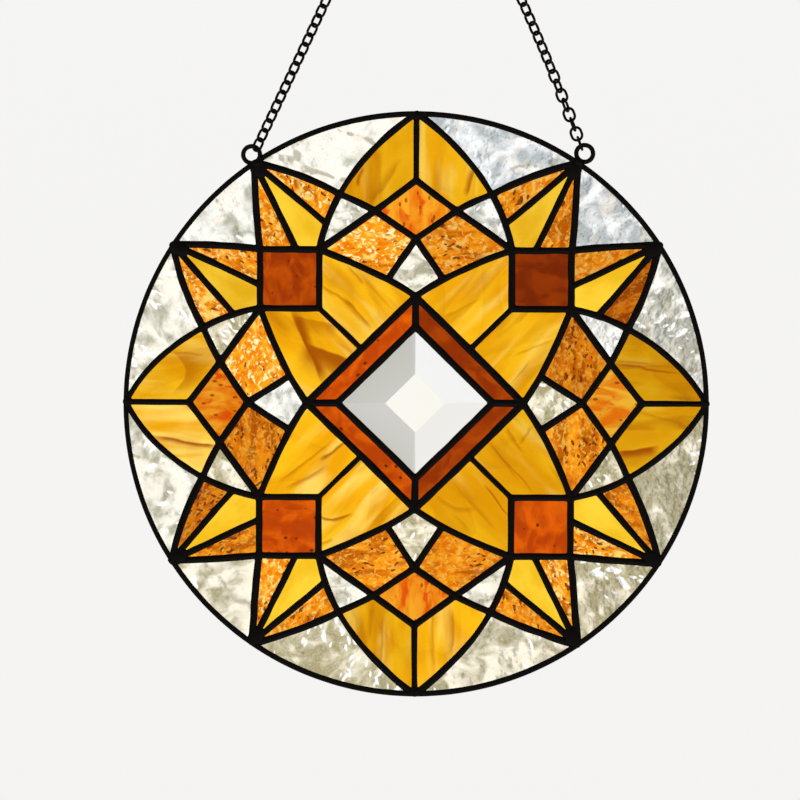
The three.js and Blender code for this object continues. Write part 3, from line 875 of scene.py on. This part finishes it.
def wire_along(path, wire, sides=10):
    """Round wire along a closed path of points in millimetres, as a bmesh."""
    path = [Vector(p) for p in path]
    count = len(path)
    work = bmesh.new()
    rings = []
    normal = None
    for i, point in enumerate(path):
        tangent = (path[(i + 1) % count] - path[i - 1]).normalized()
        if normal is None:
            normal = tangent.orthogonal().normalized()
        normal = (normal - tangent * normal.dot(tangent)).normalized()
        other = tangent.cross(normal)
        ring = []
        for s in range(sides):
            a = 2 * math.pi * s / sides
            offset = (normal * math.cos(a) + other * math.sin(a)) * wire / 2
            ring.append(work.verts.new((point + offset) * MM))
        rings.append(ring)
    for i in range(count):
        a, b = rings[i], rings[(i + 1) % count]
        for s in range(sides):
            t = (s + 1) % sides
            work.faces.new((a[s], a[t], b[t], b[s]))
    return work


def circle(radius, steps=48):
    turn = [2 * math.pi * i / steps for i in range(steps)]
    return [(radius * math.sin(a), 0, radius * math.cos(a)) for a in turn]


def link_path():
    """The centre line of an oval link, long in z."""
    radius = (LINK_WIDTH - LINK_WIRE) / 2
    straight = LINK_PITCH / 2 + LINK_WIRE / 2 - radius
    path, steps = [], 28
    for i in range(steps):
        a = 2 * math.pi * (i + 0.5) / steps
        path.append((radius * math.sin(a), 0, radius * math.cos(a) + math.copysign(straight, math.cos(a))))
    return path


def make_chain(side, sign, material):
    """Links along a slightly bowed line from the loop up to the ring."""
    lean = Vector((-sign * math.sin(CHAIN_LEAN), 0, math.cos(CHAIN_LEAN)))
    foot_shift, end_shift = CHAIN_SHIFT[side], RING_END_SHIFT[side]
    foot = Vector((sign * LOOP_CENTRE[0] + foot_shift[0], 0, LOOP_CENTRE[1] + foot_shift[1]))
    foot += lean * reach_from(LOOP_OUTER)
    end = Vector((end_shift[0], 0, (RING_CENTRE_Z - CENTRE_Z) / MM + end_shift[1]))
    end -= lean * reach_from(RING_OUTER)
    bow = Vector((CHAIN_BOW[side], 0, 0))
    parts = []
    for index in range(LINKS_PER_CHAIN):
        slack = 1 - min(index / TWISTED_LINKS, 1) if sign > 0 else 0
        turn = math.pi / 4 * (1 + slack + 2 * index)
        share = index / (LINKS_PER_CHAIN - 1)
        place = foot.lerp(end, share) + bow * 4 * share * (1 - share)
        way = end - foot + bow * 4 * (1 - 2 * share)
        tilt = Matrix.Rotation(math.atan2(way.x, way.z), 4, "Y")
        work = wire_along(link_path(), LINK_WIRE)
        spin = tilt @ Matrix.Rotation(turn, 4, "Z")
        work.transform(Matrix.Translation(place * MM + Vector((0, 0, CENTRE_Z))) @ spin)
        parts.append(work)
    mesh = merged("chain", parts)
    return new_piece(f"chain_links_{side}", mesh, material, [f"chain_{side}"])


def make_loop(side, sign, material):
    """A wire ring, and the lump of solder that holds it to the rim."""
    ring = wire_along(circle(LOOP_OUTER - RING_WIRE / 2), RING_WIRE, sides=16)
    lump = blob((0, 0, -LOOP_DAB_LOW * MM), *LOOP_DAB, 0, 60 + sign)
    mesh = merged("loop", [ring, lump])
    spin = Matrix.Rotation(sign * LOOP_BEARING, 4, "Y")
    shift = LOOP_SHIFT[side]
    x, z = sign * LOOP_CENTRE[0] + shift[0], LOOP_CENTRE[1] + shift[1]
    mesh.transform(Matrix.Translation(Vector((x * MM, 0, z * MM + CENTRE_Z))) @ spin)
    return new_piece(f"loop_wire_{side}", mesh, material, [f"hanging_loop_{side}"])


def make_hook_ring(material):
    mesh = merged("ring", [wire_along(circle(RING_OUTER - RING_WIRE / 2, 64), RING_WIRE, sides=16)])
    mesh.transform(Matrix.Translation((0, 0, RING_CENTRE_Z)))
    return new_piece("hook_ring_wire", mesh, material, ["hook_ring"])


# ---------------- materials


def rgb(red, green, blue):
    """A display colour from 0 to 255 as the linear colour that a shader takes."""
    def linear(value):
        value /= 255
        return value / 12.92 if value <= 0.04045 else ((value + 0.055) / 1.055) ** 2.4

    return (linear(red), linear(green), linear(blue), 1.0)


class Nodes:
    """A node tree, with short calls for the nodes used here."""

    def __init__(self, tree):
        self.tree = tree

    def node(self, kind, values=None, **settings):
        made = self.tree.nodes.new(kind)
        for key, value in settings.items():
            setattr(made, key, value)
        for key, value in (values or {}).items():
            self.feed(made.inputs[key], value)
        return made

    def feed(self, socket, value):
        if isinstance(value, bpy.types.NodeSocket):
            self.tree.links.new(value, socket)
        else:
            socket.default_value = value

    def attribute(self, name, output="Vector"):
        return self.node("ShaderNodeAttribute", attribute_name=name).outputs[output]

    def scaled(self, vector, scale):
        values = {0: vector, 1: scale}
        return self.node("ShaderNodeVectorMath", values, operation="MULTIPLY").outputs[0]

    def noise(self, vector, detail, distortion=0.0):
        values = {"Vector": vector, "Scale": 1.0, "Detail": detail, "Distortion": distortion}
        return self.node("ShaderNodeTexNoise", values).outputs["Fac"]

    def between(self, value, low, high, out_low=0.0, out_high=1.0):
        """Eases the value from one range to another."""
        values = {0: value, 1: low, 2: high, 3: out_low, 4: out_high}
        return self.node("ShaderNodeMapRange", values, interpolation_type="SMOOTHSTEP").outputs[0]

    def math(self, operation, a, b=0.0, c=0.0):
        return self.node("ShaderNodeMath", {0: a, 1: b, 2: c}, operation=operation).outputs[0]

    def mix(self, factor, a, b, blend="MIX"):
        made = self.node("ShaderNodeMix", data_type="RGBA", blend_type=blend)
        self.feed(made.inputs[0], factor)
        self.feed(made.inputs[6], a)
        self.feed(made.inputs[7], b)
        return made.outputs[2]

    def lifted(self, value, field, share):
        """The value with a share of a field added."""
        return self.math("MULTIPLY_ADD", field, share, value)

    def turned(self, vector, degrees):
        """The vector turned within the sheet."""
        values = {"Vector": vector, "Angle": math.radians(degrees)}
        return self.node("ShaderNodeVectorRotate", values, rotation_type="Z_AXIS").outputs[0]

    def bump(self, height, distance):
        return self.node("ShaderNodeBump", {"Height": height, "Distance": distance}).outputs["Normal"]


class Shader(Nodes):
    """A new material with one Principled shader."""

    def __init__(self, name):
        self.material = bpy.data.materials.new(name)
        self.material.use_nodes = True
        super().__init__(self.material.node_tree)
        self.surface = self.tree.nodes["Principled BSDF"]

    def set(self, **values):
        for key, value in values.items():
            self.feed(self.surface.inputs[key.replace("_", " ")], value)


GLASS_IOR = 1.5
# What the deepest panes let through of what the lightest do.
DEEP_AMBER, DEEP_YELLOW = (0.56, 0.50, 0.07, 1), (0.67, 0.58, 0.40, 1)
DEEP_ORANGE = (0.50, 0.34, 0.20, 1)


class Glass(Shader):
    """Glass that light passes through, coloured in layers whose patterns follow its grain."""

    def __init__(self, name, roughness):
        super().__init__(name)
        self.set(Roughness=roughness, Transmission_Weight=1.0, IOR=GLASS_IOR)

    def pattern(self, scale, detail, distortion=0.0):
        """Noise along the grain. The scale's third number picks one of many patterns."""
        return self.noise(self.scaled(self.attribute("grain"), scale), detail, distortion)

    def seeds(self, scale):
        """How far it is to the nearest of the specks strewn over the sheet."""
        values = {"Vector": self.scaled(self.attribute("grain"), scale), "Scale": 1.0}
        return self.node("ShaderNodeTexVoronoi", values).outputs["Distance"]

    def start(self, pattern, low, high, colour, other):
        """The base: one colour where the pattern is low, the other where it is high."""
        self.colour = self.mix(self.between(pattern, low, high), colour, other)

    def cover(self, amount, tint, blend="MIX"):
        self.colour = self.mix(amount, self.colour, tint, blend)

    def lay(self, pattern, low, high, tint, most=1.0):
        """Covers the colour, from nothing where the pattern is low to most where it is high."""
        self.cover(self.between(pattern, low, high, 0, most), tint)

    def speck(self, distance, near, far, tint, most):
        """Covers the colour round each seed, from most near it to nothing further off."""
        self.cover(self.between(distance, near, far, most, 0.0), tint)

    def deepen(self, deepest):
        self.cover(self.attribute("depth", "Fac"), deepest, "MULTIPLY")

    def done(self):
        self.set(Base_Color=self.colour)
        return self.material


def wispy_glass():
    """Golden amber with pale clouds and brown veins along the grain."""
    s = Glass("wispy_amber_glass", 0.06)
    tone = s.attribute("tone", "Fac")
    s.start(s.pattern((0.026, 0.05, 1), 2, 0.4), 0.36, 0.64, rgb(236, 164, 4), rgb(250, 190, 22))
    streaks = s.lifted(s.pattern((0.022, 0.10, 1), 2, 0.3), tone, 0.18)
    s.lay(streaks, 0.58, 0.86, rgb(255, 218, 104), 0.8)
    shades = s.pattern((0.022, 0.10, 4), 2, 0.4)
    s.lay(shades, 0.48, 0.28, rgb(206, 134, 2), 0.45)
    wisps = s.pattern((0.02, 0.10, 7), 2, 0.4)
    s.lay(wisps, 0.58, 0.72, rgb(176, 98, 0), 0.45)
    swirl = s.noise(s.scaled(s.turned(s.attribute("grain"), -28), (0.016, 0.034, 5)), 1, 0.2)
    folds = s.math("MULTIPLY", s.between(swirl, 0.500, 0.512), s.between(swirl, 0.62, 0.51, 0, 0.12))
    s.cover(folds, rgb(168, 100, 0))
    s.deepen(DEEP_AMBER)
    for i in range(MOST_VEINS):
        vein = s.node("ShaderNodeSeparateXYZ", {0: s.attribute(f"vein_{i}")}).outputs
        wave = s.pattern((0.05, 0.10, 11 + i), 2)
        side = s.math("ADD", vein["X"], s.between(wave, 0.2, 0.8, -1.1, 1.1))
        sharp = s.between(side, -0.8, 0.3)
        soft = s.between(s.math("DIVIDE", side, vein["Z"]), 0.1, 1.1, 1.0, 0.0)
        s.cover(s.math("MULTIPLY", s.math("MULTIPLY", sharp, soft), vein["Y"]), rgb(160, 78, 0))
    return s.done()


def yellow_glass():
    s = Glass("plain_yellow_glass", 0.06)
    s.start(s.pattern((0.05, 0.09, 1), 3), 0.3, 0.7, rgb(238, 188, 30), rgb(254, 211, 58))
    s.deepen(DEEP_YELLOW)
    return s.done()


def orange_glass():
    """Hammered orange: painted pale yellow highlights in its dimples where the tone is light, brown ripples
    where deep.
    """
    s = Glass("hammered_orange_glass", 0.05)
    tone, pale, dark = (s.attribute(label, "Fac") for label in ("tone", "pale", "dark"))
    s.start(s.pattern((0.22, 0.30, 1), 2, 0.5), 0.36, 0.64, rgb(232, 124, 2), rgb(252, 164, 24))
    ripples = s.lifted(s.pattern((0.055, 0.17, 1), 2, 0.6), tone, -0.16)
    s.lay(ripples, 0.38, 0.58, rgb(182, 86, 0), 0.85)
    # Painted highlights: golden and pale yellow patches where this field and the dimples' mark are high,
    # then painted glints; all more where the tone is light.
    light = s.lifted(s.pattern((0.36, 0.46, 3), 2, 0.9), pale, 0.06)
    painted_golden_highlight = s.math("MULTIPLY", s.between(light, 0.50, 0.70), s.between(tone, 0.0, 0.9, 0.55, 1.0))
    s.cover(painted_golden_highlight, rgb(255, 204, 84))
    painted_cream_highlight = s.math("MULTIPLY", s.between(light, 0.58, 0.70), s.between(tone, 0.35, 0.9))
    s.cover(painted_cream_highlight, rgb(255, 242, 190))
    glints = s.between(s.pattern((0.15, 0.19, 9), 1, 0.3), 0.57, 0.72)
    s.cover(s.math("MULTIPLY", glints, s.between(tone, 0.3, 0.6, 0, 0.8)), rgb(255, 218, 112))
    s.deepen(DEEP_ORANGE)
    dents = s.lifted(dark, s.pattern((0.40, 0.60, 5), 2, 0.5), 1.1)
    s.lay(dents, 0.80, 0.96, rgb(106, 40, 2), 0.9)
    s.speck(s.seeds((0.26, 0.40, 1)), 0.06, 0.12, rgb(120, 48, 2), 0.7)
    return s.done()


def streaky_glass():
    """Orange glass clouded with yellow and red, with a few dark dents."""
    s = Glass("streaky_orange_glass", 0.10)
    tone = s.attribute("tone", "Fac")
    lightest = s.mix(s.between(tone, 0.6, 1.2), rgb(252, 174, 40), rgb(250, 194, 54))
    s.start(s.pattern((0.05, 0.13, 1), 4, 1.0), 0.34, 0.64, rgb(236, 122, 4), lightest)
    red = s.lifted(s.pattern((0.09, 0.16, 1), 3, 0.8), tone, -0.14)
    s.lay(red, 0.42, 0.58, rgb(228, 80, 2), 0.9)
    s.deepen(DEEP_ORANGE)
    s.speck(s.seeds((0.13, 0.24, 1)), 0.13, 0.20, rgb(124, 46, 0), 0.75)
    return s.done()


def rust_glass():
    """Dark orange, mottled, with a few dark seeds."""
    s = Glass("dark_orange_glass", 0.10)
    tone = s.attribute("tone", "Fac")
    darker = s.mix(tone, rgb(110, 34, 0), rgb(192, 68, 0))
    lighter = s.mix(tone, rgb(136, 48, 0), rgb(232, 100, 2))
    s.start(s.pattern((0.09, 0.13, 1), 4, 0.5), 0.38, 0.66, darker, lighter)
    size = s.between(tone, 0.1, 0.8, 0.05, 0.17)
    outside = s.math("SUBTRACT", s.seeds((0.15, 0.19, 1)), size)
    s.speck(outside, -0.04, 0.02, rgb(84, 26, 0), 0.85)
    return s.done()


def clear_glass(name, patch):
    """Textured glass: clear and bright where calm, with painted olive shade and strokes of painted
    highlight where lively; its tints are painted, for what is seen through the glass.
    """
    s = Glass(name, 0.02)
    tone, pale, dark, painted_tint_warmth = (s.attribute(label, "Fac") for label in ("tone", "pale", "dark", "depth"))
    # Painted shade: olive clouds, more of them where the pane is lively.
    shade = s.between(s.lifted(s.pattern((patch, patch * 1.3, 1), 3, 0.5), tone, 0.26), 0.52, 0.80)
    # Painted tints of what is seen through the glass, cooler or warmer by the pane's depth field.
    bright = s.mix(painted_tint_warmth, rgb(246, 250, 255), rgb(252, 245, 225))
    shaded = s.mix(painted_tint_warmth, rgb(172, 182, 190), rgb(170, 161, 122))
    s.colour = s.mix(shade, bright, shaded)
    # Warm pale patches: painted tint of what is seen through the glass.
    s.lay(s.pattern((patch * 1.7, patch * 1.3, 6), 2, 0.4), 0.52, 0.72, rgb(236, 225, 204), 0.5)
    # Fine grey speckle, only in the painted shade.
    painted_shade_speckle = s.between(s.pattern((0.7, 0.9, 2), 2, 0.5), 0.5, 0.7, 0, 0.5)
    s.cover(s.math("MULTIPLY", painted_shade_speckle, shade), rgb(214, 212, 198))
    # Painted shade along the veins and hairlines.
    s.lay(dark, 0.15, 0.6, rgb(160, 154, 130), 0.7)
    # Painted highlight on the strokes.
    s.lay(pale, 0.16, 0.34, rgb(255, 255, 253))
    s.set(Normal=s.bump(s.pattern((0.3, 0.36, 1), 1), 0.00012))
    return s.done()


def bevelled_glass():
    s = Glass("bevelled_glass", 0.0)
    # Painted shade: a light warm grey instead of clear, which dims the pane under the bright light through
    # it.
    s.colour = rgb(240, 239, 236)
    return s.done()


METAL_SHINE = 0.08             # the patina's specular level


def black_metal(name, roughness, low, high):
    """Dark patina over metal, a little uneven in colour and polish."""
    s = Shader(name)
    position = s.node("ShaderNodeTexCoord").outputs["Object"]
    mottle = s.noise(s.scaled(position, (160,) * 3), 4)
    fine = s.noise(s.scaled(position, (1400,) * 3), 3)
    s.set(Base_Color=s.mix(mottle, low, high), Specular_IOR_Level=METAL_SHINE)
    s.set(Roughness=s.between(mottle, 0.3, 0.7, roughness - 0.07, roughness + 0.09))
    s.set(Normal=s.bump(fine, 0.00006))
    return s.material


def make_materials():
    return {
        "wispy": wispy_glass(),
        "yellow": yellow_glass(),
        "orange": orange_glass(),
        "streaky": streaky_glass(),
        "rust": rust_glass(),
        "water": clear_glass("clear_water_glass", 0.09),
        "pebble": clear_glass("clear_pebble_glass", 0.12),
        "bevel": bevelled_glass(),
        "solder": black_metal("black_solder", 0.48, rgb(4, 2, 2), rgb(12, 7, 5)),
        "steel": black_metal("black_steel", 0.45, rgb(6, 4, 3), rgb(14, 10, 7)),
    }


# ---------------- studio

CAMERA_DISTANCE, SENSOR = 8.0, 36
FRAME_MM, AIM_MM = 410, (-8.3, 1.95)      # what the picture spans at the panel, and its middle
STRIP_LIGHTS = 16              # tall soft lights around the studio
STRIP_SHIFT = 1.0              # turns them a little, in radians of one light's share
GLOSSY_SHARE = 0.05            # how much of the room's light reflections see
FLOOR_BELOW, FLOOR_REACH, FLOOR_SIDES = 1.1, 14.0, 96


def make_camera():
    data = bpy.data.cameras.new("camera")
    data.sensor_width = SENSOR
    data.lens = SENSOR * CAMERA_DISTANCE / (FRAME_MM * MM)
    data.clip_end = 100
    camera = in_scene("camera", data)
    camera.location = (AIM_MM[0] * MM, -CAMERA_DISTANCE, CENTRE_Z + AIM_MM[1] * MM)
    camera.rotation_euler = (math.pi / 2, 0, 0)
    bpy.context.scene.camera = camera


def ramp(nodes, value, stops):
    """Colours that change with a value: each stop is a place and a colour."""
    made = nodes.node("ShaderNodeValToRGB", {"Fac": value})
    made.color_ramp.interpolation = "EASE"
    elements = made.color_ramp.elements
    while len(elements) < len(stops):
        elements.new(0.5)
    for element, (place, colour) in zip(elements, stops):
        element.position = place
        element.color = (*colour, 1)
    return made.outputs["Color"]


def make_world():
    """A plain pale studio; what shines through the glass is a row of tall soft lights."""
    world = bpy.data.worlds.new("studio")
    world.use_nodes = True
    bpy.context.scene.world = world
    n = Nodes(world.node_tree)
    direction = n.node("ShaderNodeTexCoord").outputs["Generated"]
    split = n.node("ShaderNodeSeparateXYZ", {0: direction})
    east, north, up = split.outputs["X"], split.outputs["Y"], split.outputs["Z"]
    height = n.math("MULTIPLY_ADD", up, 0.5, 0.5)
    plain = ramp(n, height, [
        (0.0, (0.80, 0.79, 0.77)), (0.45, (0.90, 0.89, 0.87)),
        (0.55, (0.92, 0.92, 0.91)), (0.8, (1.0, 1.0, 0.99)),
    ])
    turn = n.math("MULTIPLY_ADD", n.math("ARCTAN2", east, north), STRIP_LIGHTS, STRIP_SHIFT)
    sway = n.noise(n.scaled(direction, (9, 9, 9)), 1)
    turn = n.math("ADD", turn, n.between(sway, 0.3, 0.7, -0.12, 0.12))
    glow = ramp(n, n.math("MULTIPLY_ADD", n.math("COSINE", turn), 0.5, 0.5), [
        (0.0, (0.30, 0.30, 0.24)), (0.28, (0.66, 0.66, 0.62)), (0.48, (0.76, 0.76, 0.76)),
        (0.61, (1.14, 1.12, 1.08)), (0.88, (1.18, 1.16, 1.12)), (0.95, (1.10, 1.11, 1.13)),
    ])
    drift = n.noise(n.scaled(direction, (19, 19, 19)), 2)
    glow = n.mix(n.between(drift, 0.42, 0.66, 0, 0.2), glow, (0.80, 0.76, 0.66, 1), "MULTIPLY")
    glow = n.mix(n.between(up, 0.02, 0.045), glow, (0.94, 0.93, 0.91, 1), "MULTIPLY")
    away = n.math("ABSOLUTE", n.math("ADD", up, -0.012))
    glow = n.mix(n.between(away, 0.05, 0.22), glow, (0.36, 0.38, 0.34, 1))
    path = n.node("ShaderNodeLightPath").outputs
    colour = n.mix(path["Is Glossy Ray"], plain, n.scaled(plain, (GLOSSY_SHARE,) * 3))
    colour = n.mix(path["Is Transmission Ray"], colour, glow)
    n.feed(n.tree.nodes["Background"].inputs["Color"], colour)


def soft_light(name, place, size, power, colour=(1, 1, 1)):
    """A square soft light aimed at the panel, unseen by the camera itself."""
    data = bpy.data.lights.new(name, "AREA")
    data.shape, data.size, data.energy, data.color = "SQUARE", size, power, colour
    light = in_scene(name, data)
    light.location = place
    target = Vector((0, 0, CENTRE_Z))
    light.rotation_euler = (target - Vector(place)).to_track_quat("-Z", "Y").to_euler()
    light.visible_camera = False


def make_lights():
    """Two small lights behind the panel and two large ones in front of it."""
    soft_light("back_left", (-0.75, 2.4, CENTRE_Z + 0.5), 0.5, 9, (1, 0.98, 0.95))
    soft_light("back_right", (0.9, 2.4, CENTRE_Z + 0.4), 0.4, 5)
    soft_light("key", (-1.6, -2.2, CENTRE_Z + 1.6), 1.4, 10)
    soft_light("fill", (1.8, -1.6, CENTRE_Z + 0.2), 1.4, 4)


def make_floor():
    mesh = bpy.data.meshes.new("floor")
    turns = [2 * math.pi * i / FLOOR_SIDES for i in range(FLOOR_SIDES)]
    level = CENTRE_Z - FLOOR_BELOW
    edge = [(FLOOR_REACH * math.cos(a), FLOOR_REACH * math.sin(a), level) for a in turns]
    mesh.from_pydata(edge, [], [tuple(range(FLOOR_SIDES))])
    floor = in_scene("floor", mesh)
    s = Shader("pale_floor")
    s.set(Base_Color=rgb(246, 245, 242), Roughness=0.9)
    mesh.materials.append(s.material)


def view_settings():
    scene = bpy.context.scene
    scene.view_settings.view_transform = "Standard"
    scene.view_settings.look = "None"
    scene.view_settings.exposure = 0
    scene.view_settings.gamma = 1


# ---------------- assembly

make_camera()
make_world()
make_lights()
make_floor()
view_settings()
materials = make_materials()

outlines = []
for number, (kind, name, index, matrix, sides) in enumerate(place_panes()):
    outline = Outline(sides)
    outlines.append(outline)
    if kind != "bevel":
        make_pane(kind, name, index, matrix, outline, 100 + number, materials)
make_bevel(materials["bevel"])
make_solder(outlines, materials["solder"])
make_rim(materials["solder"])
make_joints(materials["solder"])
for side, sign in (("left", -1), ("right", 1)):
    make_loop(side, sign, materials["steel"])
    make_chain(side, sign, materials["steel"])
make_hook_ring(materials["steel"])
